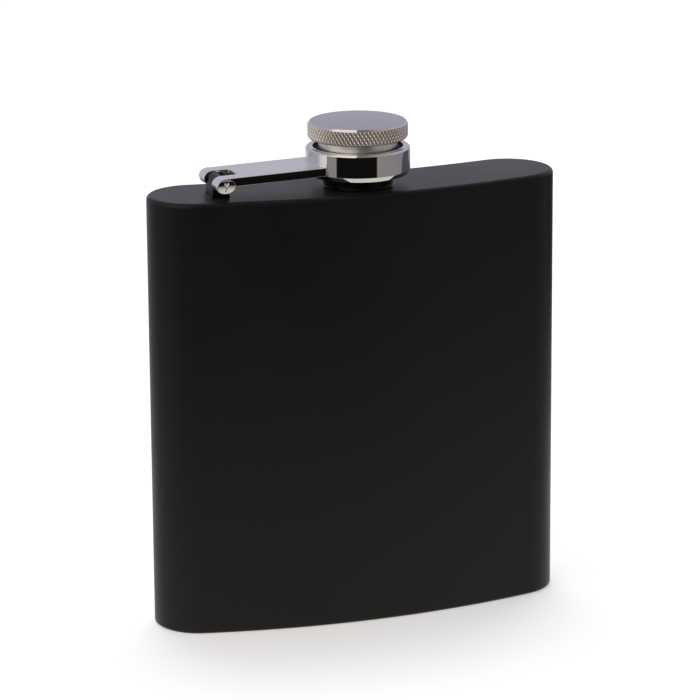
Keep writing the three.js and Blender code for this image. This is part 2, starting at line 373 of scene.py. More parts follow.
def bump(nodes, links, height, distance, strength, normal=None):
    node = nodes.new("ShaderNodeBump")
    node.inputs["Distance"].default_value = distance
    node.inputs["Strength"].default_value = strength
    links.new(height, node.inputs["Height"])
    if normal is not None:
        links.new(normal, node.inputs["Normal"])
    return node.outputs["Normal"]


def math_node(nodes, links, operation, first, second):
    node = nodes.new("ShaderNodeMath")
    node.operation = operation
    for socket, value in zip(node.inputs, (first, second)):
        if isinstance(value, (int, float)):
            socket.default_value = value
        else:
            links.new(value, socket)
    return node.outputs["Value"]


def distance_from_axis(nodes, links, where):
    """The distance from the cap's axis in metres."""
    flat = nodes.new("ShaderNodeVectorMath")
    flat.operation = "MULTIPLY"
    flat.inputs[1].default_value = (1, 1, 0)
    links.new(where, flat.inputs[0])
    length = nodes.new("ShaderNodeVectorMath")
    length.operation = "LENGTH"
    links.new(flat.outputs["Vector"], length.inputs[0])
    return length.outputs["Value"]


def black_coating():
    """Matt black powder coat: a fine orange peel, faint mottling and a few specks of dust."""
    material, nodes, links, shader, where = new_material("black_coating")
    cloud = noise(nodes, links, where, 60, 3)
    grain = noise(nodes, links, where, 2600, 2)
    peel = noise(nodes, links, where, 700, 1)
    dust = nodes.new("ShaderNodeTexVoronoi")
    dust.inputs["Scale"].default_value = 95
    links.new(where, dust.inputs["Vector"])
    speck = ramp(nodes, links, dust.outputs["Distance"], 0.012, 0.02, 1.0, 0.0)
    coat = tinted(nodes, links, cloud, (0.0088, 0.0082, 0.0088), (0.0110, 0.0102, 0.0109))
    dusty = nodes.new("ShaderNodeMix")
    dusty.data_type = "RGBA"
    dusty.inputs["B"].default_value = (0.03, 0.03, 0.03, 1)
    links.new(speck, dusty.inputs["Factor"])
    links.new(coat, dusty.inputs["A"])
    links.new(dusty.outputs["Result"], shader.inputs["Base Color"])
    links.new(ramp(nodes, links, cloud, 0.3, 0.7, 0.32, 0.38), shader.inputs["Roughness"])
    shader.inputs["Specular IOR Level"].default_value = 0.2
    shader.inputs["Sheen Weight"].default_value = 0.03
    shader.inputs["Sheen Roughness"].default_value = 0.4
    first = bump(nodes, links, peel, 0.00002, 0.25)
    links.new(bump(nodes, links, grain, 0.000008, 0.5, first), shader.inputs["Normal"])
    return material


def gloss_coating_shaded():
    """The same coat where it was masked and flowed smooth, on the neck and the lug, with painted shade:
    its colour is darker than the body coat's, for the shade under the ring and the arm.
    """
    material, nodes, links, shader, where = new_material("gloss_coating_shaded")
    cloud = noise(nodes, links, where, 300, 2)
    # painted shade: darker than the body coat, for the shade under the ring and the arm
    links.new(
        tinted(nodes, links, cloud, (0.003, 0.003, 0.0033), (0.005, 0.005, 0.0055)),
        shader.inputs["Base Color"],
    )
    links.new(ramp(nodes, links, cloud, 0.3, 0.7, 0.2, 0.3), shader.inputs["Roughness"])
    shader.inputs["Specular IOR Level"].default_value = 0.12
    peel = noise(nodes, links, where, 1200, 1)
    links.new(bump(nodes, links, peel, 0.00001, 0.3), shader.inputs["Normal"])
    return material


def bare_steel():
    """The drawn sheet inside the flask."""
    material, nodes, links, shader, where = new_material("bare_steel")
    shader.inputs["Metallic"].default_value = 1.0
    cloud = noise(nodes, links, where, 150, 4)
    links.new(
        tinted(nodes, links, cloud, (0.33, 0.33, 0.34), (0.46, 0.46, 0.47)), shader.inputs["Base Color"]
    )
    links.new(ramp(nodes, links, cloud, 0.2, 0.8, 0.3, 0.45), shader.inputs["Roughness"])
    return material


def polished_steel():
    """Mirror polish with hairline marks and a trace of handling."""
    material, nodes, links, shader, where = new_material("polished_steel")
    shader.inputs["Metallic"].default_value = 1.0
    smudge = noise(nodes, links, where, 260, 3)
    hair = noise(nodes, links, where, 900, 2, (0.15, 0.15, 6))
    links.new(
        tinted(nodes, links, smudge, (0.66, 0.655, 0.66), (0.73, 0.725, 0.725)),
        shader.inputs["Base Color"],
    )
    links.new(ramp(nodes, links, smudge, 0.35, 0.75, 0.03, 0.07), shader.inputs["Roughness"])
    links.new(bump(nodes, links, hair, 0.000002, 0.15), shader.inputs["Normal"])
    return material


def brushed_steel():
    """Satin faces brushed along the arm."""
    material, nodes, links, shader, where = new_material("brushed_steel")
    shader.inputs["Metallic"].default_value = 1.0
    fine = noise(nodes, links, where, 1500, 3, (0.03, 1.6, 1.6))
    broad = noise(nodes, links, where, 420, 2, (0.05, 1, 1))
    links.new(
        tinted(nodes, links, broad, (0.8, 0.79, 0.8), (0.92, 0.91, 0.915)), shader.inputs["Base Color"]
    )
    links.new(ramp(nodes, links, fine, 0.25, 0.75, 0.24, 0.4), shader.inputs["Roughness"])
    links.new(bump(nodes, links, fine, 0.00002, 0.35), shader.inputs["Normal"])
    return material


def turned_steel(name, dark, light, smoothest, roughest):
    """A lathe-turned face: rings about the cap's axis under a satin finish."""
    material, nodes, links, shader, where = new_material(name)
    shader.inputs["Metallic"].default_value = 1.0
    distance = distance_from_axis(nodes, links, where)
    ring_noise = nodes.new("ShaderNodeTexNoise")
    ring_noise.noise_dimensions = "1D"
    ring_noise.inputs["Scale"].default_value = 9000
    ring_noise.inputs["Detail"].default_value = 2
    links.new(distance, ring_noise.inputs["W"])
    cloud = noise(nodes, links, where, 220, 3)
    links.new(tinted(nodes, links, cloud, dark, light), shader.inputs["Base Color"])
    rough = ramp(nodes, links, ring_noise.outputs["Fac"], 0.2, 0.8, smoothest, roughest)
    links.new(rough, shader.inputs["Roughness"])
    links.new(bump(nodes, links, ring_noise.outputs["Fac"], 0.000008, 0.3), shader.inputs["Normal"])
    return material


def knurled_steel():
    """Rolled knurl: bright crests whose warm tint is painted warm reflection, and painted shade that
    darkens the colour towards the groove bottoms.
    """
    material, nodes, links, shader, where = new_material("knurled_steel")
    shader.inputs["Metallic"].default_value = 1.0
    distance = distance_from_axis(nodes, links, where)
    # painted shade: the colour darkens with the depth into the grooves
    groove_shade = ramp(nodes, links, distance, (HEAD_RADIUS - KNURL_DEEP) * MM, HEAD_RADIUS * MM)
    grain = noise(nodes, links, where, 1800, 2)
    # the dark end is painted groove shade; the warm light end paints warm reflected light on the crests
    links.new(
        tinted(nodes, links, groove_shade, (0.13, 0.115, 0.105), (0.93, 0.87, 0.82)), shader.inputs["Base Color"]
    )
    links.new(ramp(nodes, links, grain, 0.3, 0.7, 0.3, 0.42), shader.inputs["Roughness"])
    links.new(bump(nodes, links, grain, 0.00001, 0.3), shader.inputs["Normal"])
    return material


def liner_plastic():
    """Moulded nylon, slightly see-through at its edges."""
    material, nodes, links, shader, where = new_material("liner_plastic")
    shader.inputs["Subsurface Weight"].default_value = 0.15
    shader.inputs["Subsurface Radius"].default_value = (0.002, 0.002, 0.0018)
    cloud = noise(nodes, links, where, 400, 2)
    links.new(
        tinted(nodes, links, cloud, (0.68, 0.68, 0.64), (0.76, 0.76, 0.72)), shader.inputs["Base Color"]
    )
    links.new(ramp(nodes, links, cloud, 0.3, 0.7, 0.4, 0.5), shader.inputs["Roughness"])
    return material


def gasket_rubber():
    """Die-cut silicone sheet with a dusty bloom."""
    material, nodes, links, shader, where = new_material("gasket_rubber")
    cloud = noise(nodes, links, where, 500, 4)
    links.new(
        tinted(nodes, links, cloud, (0.5, 0.5, 0.48), (0.62, 0.62, 0.6)), shader.inputs["Base Color"]
    )
    links.new(ramp(nodes, links, cloud, 0.3, 0.7, 0.55, 0.72), shader.inputs["Roughness"])
    links.new(bump(nodes, links, cloud, 0.00003, 0.3), shader.inputs["Normal"])
    return material


COAT = black_coating()
SHADED_GLOSS = gloss_coating_shaded()
BARE = bare_steel()
POLISHED = polished_steel()
BRUSHED = brushed_steel()
# painted light on the cap's one steel: the top's darker, bluish colour is painted shade and cool
# reflection, and the skirt's brighter, warm colour is painted warm reflection
TURNED_SHADED = turned_steel("turned_steel", (0.5, 0.505, 0.53), (0.6, 0.605, 0.63), 0.24, 0.36)
SATIN_LIT = turned_steel("satin_steel_lit", (0.84, 0.79, 0.74), (0.93, 0.88, 0.83), 0.28, 0.4)
# painted shade: near-black steel for the ring's well and lip, for the shadow down the gap round the
# skirt
WELL_SHADE = turned_steel("well_shade_steel", (0.07, 0.07, 0.075), (0.12, 0.12, 0.125), 0.3, 0.42)
KNURLED = knurled_steel()
NYLON = liner_plastic()
SILICONE = gasket_rubber()

# ---- Body ----


def inside_faces(rings, first, last, count):
    """1 for a stack's faces from join first up to join last, and 0 for the rest."""
    return [1 if first <= i < last else 0 for i in range(rings) for _ in range(count)]


def build_sleeve():
    bottom, top = FLANGE, PLATE - FLANGE
    rings = [level(0, bottom), level(0, top), level(WALL, top), level(WALL, bottom)]
    places, faces = stack(rings)
    inner = inside_faces(4, 2, 3, len(rings[0]))
    coats = [COAT, BARE]
    piece("body_sleeve", places, faces, coats, "flask", ["body_shell"], inner, True)


def build_top():
    outer = [(inset, PLATE + z) for inset, z in edge_levels(TOP_EDGE, TOP_EDGE, 0)]
    inner = [(inset, PLATE + z) for inset, z in edge_levels(TOP_EDGE, TOP_EDGE - WALL, WALL)]
    rings = [level(0, PLATE - FLANGE)] + [level(*pair) for pair in outer]
    rings.append(level(TOP_EDGE + FACE_MARGIN, PLATE))
    hole = circle_towards(outline(TOP_EDGE), SPOUT_RADIUS + NECK_CLEARANCE)
    rings.append([(x, y, PLATE) for x, y in hole])
    rings.append([(x, y, PLATE - WALL) for x, y in hole])
    first_inside = len(rings) - 1
    rings.append(level(TOP_EDGE + FACE_MARGIN, PLATE - WALL))
    rings += [level(*pair) for pair in reversed(inner)]
    rings.append(level(WALL, PLATE - FLANGE))
    places, faces = stack(rings)
    inside = inside_faces(len(rings), first_inside, len(rings) - 1, len(rings[0]))
    coats = [COAT, BARE]
    piece("top_panel", places, faces, coats, "flask", ["top_plate"], inside, True)


def build_bottom():
    outer = [(inset, -z) for inset, z in edge_levels(BOTTOM_EDGE, BOTTOM_EDGE, 0)]
    inner = [(inset, -z) for inset, z in edge_levels(BOTTOM_EDGE, BOTTOM_EDGE - WALL, WALL, 3)]
    rings = [level(BOTTOM_EDGE + FACE_MARGIN, 0)] + [level(*pair) for pair in reversed(outer)]
    rings += [level(0, FLANGE), level(WALL, FLANGE)]
    first_inside = len(rings) - 1
    rings += [level(*pair) for pair in inner]
    rings.append(level(BOTTOM_EDGE + FACE_MARGIN, WALL))
    places, faces = stack(rings, closed=False)
    count = len(rings[0])
    inside = inside_faces(len(rings) - 1, first_inside, len(rings) - 1, count) + [0, 1]
    coats = [COAT, BARE]
    piece("bottom_panel", places, faces, coats, "flask", ["bottom_plate"], inside, True)


# ---- Threads ----


def ridge_height(z, angle, base, turns, depth):
    """How far a thread stands out at a height and angle: a trapezoid on a right-handed helix."""
    best = np.zeros_like(angle)
    for lap in range(int(math.ceil(turns)) + 1):
        turn = angle / (2 * math.pi) + lap
        away = np.abs(z - (base + THREAD_PITCH * turn))
        flank = (RIDGE_ROOT / 2 - away) / (RIDGE_ROOT - RIDGE_CREST) * 2
        run_out = np.clip(np.minimum(turn, turns - turn) * THREAD_FADE, 0, 1)
        best = np.maximum(best, depth * np.clip(flank, 0, 1) * run_out)
    return best


def rows_between(low, high, spacing):
    return list(np.linspace(low, high, max(2, int(round((high - low) / spacing)) + 1)))


# ---- Neck ----


def build_neck():
    chamfer = 0.3
    weld = 0.45  # fillet where the bush meets the plate
    bead = arc((SHOULDER_RADIUS + weld, weld), weld, 1.5 * math.pi, math.pi, 6)
    outer = [(BORE_RADIUS, NECK_LOW.z - PLATE), (SPOUT_RADIUS, NECK_LOW.z - PLATE)]
    outer += [(SPOUT_RADIUS, -WALL / 2), (SHOULDER_RADIUS + weld, -WALL / 2)]
    outer += bead
    outer += rounded(
        [(SHOULDER_RADIUS, 1.5), (SHOULDER_RADIUS, SHOULDER_TOP), (SPOUT_RADIUS + 0.3, SHOULDER_TOP)],
        0.35,
        closed=False,
    )
    first_steel = len(outer) - 1
    threads = rows_between(SHOULDER_TOP + 0.1, SPOUT_TOP - chamfer, THREAD_ROW)
    outer += [(SPOUT_RADIUS, z) for z in threads]
    outer += [(SPOUT_RADIUS - chamfer / 2, SPOUT_TOP), (BORE_RADIUS + chamfer / 2, SPOUT_TOP)]
    outer += [(BORE_RADIUS, SPOUT_TOP - chamfer)]
    steps = 180

    def threaded(r, z, angle):
        if abs(r - SPOUT_RADIUS) > 1e-6 or z < SHOULDER_TOP:
            return np.full(len(angle), r)
        return r + ridge_height(z, angle, NECK_THREAD_BASE, NECK_TURNS, THREAD_DEPTH)

    places, faces = revolve(outer, steps, radius_at=threaded)
    steel = [1 if i >= first_steel else 0 for i in range(len(outer)) for _ in range(steps)]
    piece("neck_bush", places, faces, [SHADED_GLOSS, BARE], "flask", ["neck"], steel)


# ---- Cap ----


def knurl_depth(angle, z):
    """The depth of the crossed grooves at an angle and a height on the head's rim."""
    spacing = 2 * math.pi * HEAD_RADIUS / KNURL_GROOVES
    along = angle * HEAD_RADIUS / spacing
    climb = z * math.tan(KNURL_SLANT) / spacing

    def groove(phase, depth):
        across = np.abs((phase % 1.0) - 0.5) * 2
        return depth * (1 - np.clip((1 - across) * KNURL_FLANK, 0, 1))

    return np.maximum(groove(along + climb, KNURL_DEEP), groove(along - climb, KNURL_SHALLOW))


def build_head():
    dome = DOME_TOP - HEAD_TOP
    flat = HEAD_RADIUS - HEAD_CHAMFER
    bulge = (flat**2 + dome**2) / (2 * dome)

    def dome_height(r):
        return DOME_TOP - bulge + math.sqrt(bulge**2 - r**2)

    inside = [(0, CAVITY_TOP), (SKIRT_INNER, CAVITY_TOP), (SKIRT_INNER, SKIRT_BASE)]
    groove_base = SKIRT_BASE + SKIRT_LAND
    groove_top = SNAP_HIGH.z - PLATE + 0.3
    skirt = [(SKIRT_RADIUS, SKIRT_BASE), (SKIRT_RADIUS, groove_base), (GROOVE_RADIUS, groove_base)]
    skirt += [(GROOVE_RADIUS, groove_top), (SKIRT_RADIUS, groove_top)]
    skirt.append((SKIRT_RADIUS, RING_TOP))
    cove_centre = (SKIRT_RADIUS - SKIRT_TAPER + HEAD_COVE, HEAD_BASE - HEAD_COVE)
    cove = arc(cove_centre, HEAD_COVE, math.pi, math.pi / 2, 8)
    lower = rounded(inside + skirt, 0.12, closed=False, steps=3) + cove
    rim = []
    for z in rows_between(HEAD_BASE, HEAD_BASE + HEAD_FOOT, KNURL_ROW)[:-1]:
        rim.append((HEAD_RADIUS - HEAD_FOOT + (z - HEAD_BASE), z))
    rim += [(HEAD_RADIUS, z) for z in rows_between(HEAD_BASE + HEAD_FOOT, KNURL_TOP - 0.1, KNURL_ROW)]
    bevel = [(HEAD_RADIUS, KNURL_TOP - 0.1), (HEAD_RADIUS - 0.06, KNURL_TOP)]
    bevel += [(flat + 0.05, dome_height(flat) - 0.06), (flat - 0.3, dome_height(flat - 0.3))]
    shoulder = rounded(bevel, 0.1, closed=False)[1:]
    crown = [(r, dome_height(r)) for r in np.linspace(flat - 0.6, 0, 14)]
    profile = lower + rim + shoulder + crown

    def knurled(r, z, angle):
        if z < HEAD_BASE or z > KNURL_TOP or r < HEAD_RADIUS - HEAD_FOOT:
            return np.full(len(angle), r)
        return np.minimum(r, HEAD_RADIUS - knurl_depth(angle, z))

    places, faces = revolve(profile, KNURL_STEPS, closed=False, radius_at=knurled)
    first_rim, last_rim = len(lower) - 1, len(lower) + len(rim)
    first_crown = last_rim + len(shoulder) - 2
    spans = [2] * first_rim + [1] * (last_rim - first_rim) + [3] * (first_crown - last_rim)
    spans += [0] * (len(profile) - 1 - first_crown)
    kinds = [kind for kind in spans for _ in range(KNURL_STEPS)]
    # the top takes the painted-shade steel; the skirt and the inside take the painted-reflection steel
    materials = [TURNED_SHADED, KNURLED, SATIN_LIT, POLISHED]
    piece("cap_knob", places, faces, materials, "cap", ["cap_head"], kinds)


def build_liner():
    inner = [(LINER_ROOT, z) for z in rows_between(SPOUT_TOP - 0.1, LINER_BASE + 0.1, THREAD_ROW)]
    section = [(LINER_RADIUS, LINER_BASE), (LINER_RADIUS, SPOUT_TOP)] + inner

    def threaded(r, z, angle):
        if r > LINER_ROOT + 1e-6:
            return np.full(len(angle), r)
        base = NECK_THREAD_BASE + THREAD_PITCH / 2
        return r - ridge_height(z, angle, base, LINER_TURNS, THREAD_DEPTH)

    places, faces = revolve(section, 160, radius_at=threaded)
    piece("threaded_liner", places, faces, [NYLON], "cap", ["cap_liner"])


def build_gasket():
    low, high = GASKET_LOW.z - PLATE, GASKET_HIGH.z - PLATE
    radius = GASKET_HIGH.x
    print_radius = SPOUT_RADIUS - 0.1  # a ring pressed into the sheet by the spout's rim
    dent = 0.08
    face = [(0, low), (BORE_RADIUS - 0.2, low), (BORE_RADIUS + 0.1, low + dent)]
    face += [(print_radius - 0.2, low + dent), (print_radius + 0.1, low), (radius, low)]
    section = rounded(face + [(radius, high), (0, high)], 0.1, closed=False, steps=3)
    places, faces = revolve(section, 120, closed=False)
    piece("gasket_disc", places, faces, [SILICONE], "cap", ["cap_gasket"])


# ---- Captive ring and snap ring ----


def build_ring():
    section = [
        (WELL_RADIUS, RING_BASE),
        (RING_RADIUS - RING_FOOT_DEPTH, RING_BASE),
        (RING_RADIUS, RING_BASE + RING_FOOT),
        (RING_RADIUS, RING_TOP - RING_CHAMFER),
        (RING_RADIUS - RING_CHAMFER, RING_TOP),
        (WELL_RADIUS, RING_TOP),
        (WELL_RADIUS, LIP_TOP),
        (LIP_RADIUS, LIP_TOP),
        (LIP_RADIUS, LIP_BASE),
        (WELL_RADIUS, LIP_BASE),
    ]
    profile = rounded(section, 0.16)
    steps = 256
    places, faces = revolve(profile, steps)
    edge = WELL_RADIUS + 0.05
    following = profile[1:] + profile[:1]
    # the well and lip faces take the painted-shade steel
    spans = [1 if max(a[0], b[0]) < edge else 0 for a, b in zip(profile, following)]
    kinds = [kind for kind in spans for _ in range(steps)]
    materials = [POLISHED, WELL_SHADE]
    piece("captive_collar", places, faces, materials, "arm", ["captive_ring"], kinds)


def build_snap_ring():
    low, high = SNAP_LOW.z - PLATE, SNAP_HIGH.z - PLATE
    radius = -SNAP_LOW.x
    section = rounded([(SNAP_INNER, low), (radius, low), (radius, high), (SNAP_INNER, high)], 0.12)
    split = SNAP_SPLIT / radius
    places, faces = revolve(section, 150, turn=2 * math.pi - split)
    turn = Matrix.Rotation(split / 2, 4, "Z")
    places = [turn @ Vector(p) for p in places]
    piece("snap_band", places, faces, [BRUSHED], "slider", ["snap_ring"])


# ---- Arm, lug and pin ----


def slab(section, half, name):
    """A side view in X and Z, as thick as 2 * half across Y."""
    count = len(section)
    places = [(x, -half, z) for x, z in section] + [(x, half, z) for x, z in section]
    faces = [(k, count + k, count + (k + 1) % count, (k + 1) % count) for k in range(count)]
    faces += [list(range(count)), list(reversed(range(count, 2 * count)))]
    mesh = bpy.data.meshes.new(name)
    mesh.from_pydata((np.array(places) * MM).tolist(), [], faces)
    made = bpy.data.objects.new(name, mesh)
    bpy.context.scene.collection.objects.link(made)
    return made


def finished(made, cutters, bevel, materials, body, stands_for):
    """Cuts made with the cutters, eases its edges, and gives it its finish and its body."""
    for cutter in cutters:
        cut = made.modifiers.new("cut", "BOOLEAN")
        cut.operation = "DIFFERENCE"
        cut.solver = "EXACT"
        cut.object = cutter
    ease = made.modifiers.new("ease", "BEVEL")
    ease.width = bevel * MM
    ease.segments = 4
    ease.limit_method = "ANGLE"
    ease.angle_limit = math.radians(35)
    ease.harden_normals = True
    deps = bpy.context.evaluated_depsgraph_get()
    mesh = bpy.data.meshes.new_from_object(made.evaluated_get(deps))
    made.modifiers.clear()
    made.data = mesh
    mesh.materials.clear()
    for material in materials:
        mesh.materials.append(material)
    for face in mesh.polygons:
        face.material_index = len(materials) - 1 if abs(face.normal.y) > 0.9 else 0
    mesh.shade_smooth()
    weigh = made.modifiers.new("even_normals", "WEIGHTED_NORMAL")
    weigh.weight = 100
    for cutter in cutters:
        bpy.data.objects.remove(cutter)
    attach(made, body)
    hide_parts(*stands_for)


def tilted(points):
    """Arm points along its own bar turned by the arm's rise about the pin."""
    c, s = math.cos(ARM_RISE), math.sin(ARM_RISE)
    return [(PIN_AXIS.x + x * c - z * s, PIN_AXIS.z + x * s + z * c) for x, z in points]


def build_arm():
    reach = -PIN_AXIS.x - RING_RADIUS * 0.82  # past the ring's wall, which then trims the bar
    underside = KNUCKLE_HEIGHT - ARM_THICKNESS
    belly = math.asin(underside / KNUCKLE_HEIGHT)
    knuckle = arc((0, 0), 1, math.pi / 2, 2 * math.pi + belly, 44)
    section = [(KNUCKLE_LENGTH * x, KNUCKLE_HEIGHT * z) for x, z in knuckle]
    section += [(reach, underside), (reach, KNUCKLE_HEIGHT)]
    bar = slab(tilted(section), ARM_HALF, "forked_arm")
    past = 4  # the slot's cutter runs this far past the pin, clear of the bar
    slot_section = [(-past, -past), (SLOT_REACH, -past), (SLOT_REACH, past), (-past, past)]
    slot = slab(tilted(slot_section), SLOT_HALF, "slot_cutter")
    cut, low, high = RING_RADIUS - ARM_BURIED, -5, 15
    places, faces = revolve([(0, low), (cut, low), (cut, high), (0, high)], 128, closed=False)
    mesh = bpy.data.meshes.new("ring_cutter")
    mesh.from_pydata((np.array(places) * MM).tolist(), [], faces)
    inside = bpy.data.objects.new("ring_cutter", mesh)
    bpy.context.scene.collection.objects.link(inside)
    finishes = [BRUSHED, POLISHED]
    finished(bar, [slot, inside], 0.12, finishes, "arm", ["captive_arm"])


def build_lug():
    radius = LUG_HIGH.z - PIN_AXIS.z
    foot = PLATE - PIN_AXIS.z - 0.1
    half_foot = LUG_HIGH.x - PIN_AXIS.x
    bead_width, bead_top = half_foot + 0.25, foot + 0.35
    section = [(-bead_width, foot), (bead_width, foot), (half_foot, bead_top), (radius, 0)]
    section += arc((0, 0), radius, 0, math.pi, 32)[1:]
    section += [(-half_foot, bead_top)]
    section = [(PIN_AXIS.x + x, PIN_AXIS.z + z) for x, z in section]
    block = slab(section, LUG_HIGH.y, "lug_block")
    finished(block, [], 0.2, [SHADED_GLOSS], "flask", ["hinge_lug"])


STAKE_DEPTH = 0.16
STAKE_HALF = 0.13  # half the width of a stroke of the mark
STAKE_STROKES = ((-98, 0.95), (60, 0.75), (118, 0.65))  # degrees from +X towards +Z, and length


def stake_mark(x, z):
    """How deep the staking tool's three strokes are at a place on the pin's head, 0 to 1."""
    deepest = 0.0
    for degrees, length in STAKE_STROKES:
        c, s = math.cos(math.radians(degrees)), math.sin(math.radians(degrees))
        along, off = x * c + z * s, z * c - x * s
        beyond = max(0.0, -along, along - length)
        deepest = max(deepest, math.exp(-((off**2 + beyond**2) / STAKE_HALF**2)))
    return deepest


def head_rise(z):
    """How far the pin's head stands off the ear at a share of its height, -1 to 1."""
    away = (z - PIN_HEAD_CREST) / (1 + PIN_HEAD_CREST)
    return PIN_HEAD_EDGE + (PIN_HEAD_RISE - PIN_HEAD_EDGE) * (1 - away**2)


def pin_head(side):
    """Places and faces of one domed head, in the pin's frame: x across, z up, y outward."""
    face = ARM_HALF
    rings, spokes = 30, 120
    places, faces = [(0, side * (face + head_rise(0)), 0)], []
    for i in range(1, rings + 1):
        share = min(1.0, i / (rings - 1))
        for k in range(spokes):
            angle = 2 * math.pi * k / spokes
            across, up = share * math.cos(angle), share * math.sin(angle)
            x, z = PIN_HEAD_LENGTH * across, PIN_HEAD_HEIGHT * up
            rise = head_rise(up) * (1 - PIN_HEAD_FALL * across**2) - STAKE_DEPTH * stake_mark(x, z)
            places.append((x, side * (face + (max(0.02, rise) if i < rings else 0.0)), z))
    for k in range(spokes):
        n = (k + 1) % spokes
        faces.append((0, 1 + k, 1 + n) if side < 0 else (0, 1 + n, 1 + k))
        for i in range(rings - 1):
            a, b = 1 + i * spokes, 1 + (i + 1) * spokes
            quad = (a + k, b + k, b + n, a + n)
            faces.append(quad if side < 0 else tuple(reversed(quad)))
    return places, faces


def build_pin():
    near, near_faces = pin_head(-1)
    far, far_faces = pin_head(1)
    rim = 120
    shank_places = []
    for y in (-ARM_HALF, ARM_HALF):
        for k in range(rim):
            angle = 2 * math.pi * k / rim
            shank_places.append((PIN_RADIUS * math.cos(angle), y, PIN_RADIUS * math.sin(angle)))
    places = near + far + shank_places
    offset_far, offset_shank = len(near), len(near) + len(far)
    faces = list(near_faces) + [tuple(v + offset_far for v in f) for f in far_faces]
    last_near, last_far = len(near) - rim, offset_far + len(far) - rim
    for k in range(rim):
        n = (k + 1) % rim
        a, b = offset_shank, offset_shank + rim
        faces.append((last_near + k, a + k, a + n, last_near + n))
        faces.append((a + k, b + k, b + n, a + n))
        faces.append((b + k, last_far + k, last_far + n, b + n))
    places = [(x + PIN_AXIS.x, y, z + PIN_AXIS.z) for x, y, z in places]
    piece("staked_pin", places, faces, [POLISHED], "arm", ["hinge_pin"])


def build_braze():
    """A thin fillet of braze where the arm's top and underside meet the collar."""
    size, buried = 0.35, -0.3
    half = math.asin((ARM_HALF - 0.1) / RING_RADIUS)
    steps = 48
    rings = []
    for k in range(steps + 1):
        angle = math.pi - half + 2 * half * k / steps
        out = np.array([math.cos(angle), math.sin(angle)])
        along = -PIN_AXIS.x + RING_RADIUS * out[0]
        top = PIN_AXIS.z + math.sin(ARM_RISE) * along + KNUCKLE_HEIGHT
        taper = min(1.0, 6 * min(k + 1, steps + 1 - k) / steps)
        edge = size * taper
        section = [(buried, buried), (edge, buried), (edge, -0.02)]
        for t in np.linspace(0.2, 1.4, 5):
            section.append((edge - edge * math.sin(t), edge - edge * math.cos(t)))
        section += [(0.0, edge), (buried, edge)]
        rings.append([(*(out * (RING_RADIUS + a)), top + b) for a, b in section])
    places, faces = stack(rings, closed=False)
    piece("braze_fillet", places, faces, [POLISHED], "arm")


# ---- Stage ----

CAMERA_AZIMUTH = math.radians(-19.47)
CAMERA_ELEVATION = math.radians(15.23)
CAMERA_ROLL = math.radians(-0.39)
CAMERA_DISTANCE = 0.833
CAMERA_LENS = 196.3
CAMERA_AIM_RIGHT = -0.00203  # the view's middle is this far from the body's middle
CAMERA_AIM_UP = 0.01043


def build_camera():
    a, e = CAMERA_AZIMUTH, CAMERA_ELEVATION
    back = Vector((math.sin(a) * math.cos(e), -math.cos(a) * math.cos(e), math.sin(e)))
    right = Vector((math.cos(a), math.sin(a), 0))
    up = back.cross(right)
    across = right * math.cos(CAMERA_ROLL) + up * math.sin(CAMERA_ROLL)
    upward = up * math.cos(CAMERA_ROLL) - right * math.sin(CAMERA_ROLL)
    middle = Vector((0, 0, PLATE * MM / 2))
    data = bpy.data.cameras.new("camera")
    data.lens = CAMERA_LENS
    data.sensor_width = 36
    data.clip_start, data.clip_end = 0.05, 20
    camera = bpy.data.objects.new("camera", data)
    place = middle + back * CAMERA_DISTANCE + across * CAMERA_AIM_RIGHT + upward * CAMERA_AIM_UP
    facing = Matrix((across, upward, back)).transposed().to_4x4()
    camera.matrix_world = Matrix.Translation(place) @ facing
    bpy.context.scene.collection.objects.link(camera)
    bpy.context.scene.camera = camera


def plain_material(name, colour, strength):
    material = bpy.data.materials.new(name)
    material.use_nodes = True
    shader = material.node_tree.nodes["Principled BSDF"]
    shader.inputs["Base Color"].default_value = (*colour, 1)
    shader.inputs["Roughness"].default_value = 0.9
    shader.inputs["Specular IOR Level"].default_value = 0.0
    shader.inputs["Emission Color"].default_value = (*colour, 1)
    shader.inputs["Emission Strength"].default_value = strength
    return material


def sheet(name, z, material):
    """A level sheet of eight metres, which isn't part of the object."""
    mesh = bpy.data.meshes.new(name)
    mesh.from_pydata([(-4, -4, z), (4, -4, z), (4, 4, z), (-4, 4, z)], [], [(0, 1, 2, 3)])
    mesh.materials.append(material)
    made = bpy.data.objects.new(name, mesh)
    bpy.context.scene.collection.objects.link(made)
    return made


def azimuth_ramp(nodes, links, x, y, stops):
    """A colour by direction over the table: degrees from -Y towards +X, and the colour there."""
    minus_y = math_node(nodes, links, "MULTIPLY", y, -1.0)
    angle = math_node(nodes, links, "ARCTAN2", x, minus_y)
    share = ramp(nodes, links, angle, -math.pi, math.pi)
    node = nodes.new("ShaderNodeValToRGB")
    node.color_ramp.interpolation = "LINEAR"
    elements = node.color_ramp.elements
    elements[0].position, elements[0].color = 0.0, (*stops[0][1], 1)
    elements[1].position, elements[1].color = 1.0, (*stops[-1][1], 1)
    for degrees, colour in stops[1:-1]:
        element = elements.new((degrees + 180) / 360)
        element.color = (*colour, 1)
    links.new(share, node.inputs["Fac"])
    return node.outputs["Color"]


def scaled(colour, by):
    return tuple(c * by for c in colour)


COOL = (0.97, 0.95, 1.1)
WARM = (1.06, 1.0, 0.94)
# What stands round the table, seen from the flask: degrees from the front, and its light.
ROOM = (
    (-180, scaled(COOL, 0.53)),
    (-118, scaled(COOL, 0.5)),
    (-106, scaled(WARM, 1.0)),
    (-26, scaled(WARM, 1.0)),
    (-23, scaled(WARM, 0.2)),
    (30, scaled(WARM, 0.2)),
    (60, scaled(WARM, 0.4)),
    (100, scaled(COOL, 0.5)),
    (180, scaled(COOL, 0.53)),
)
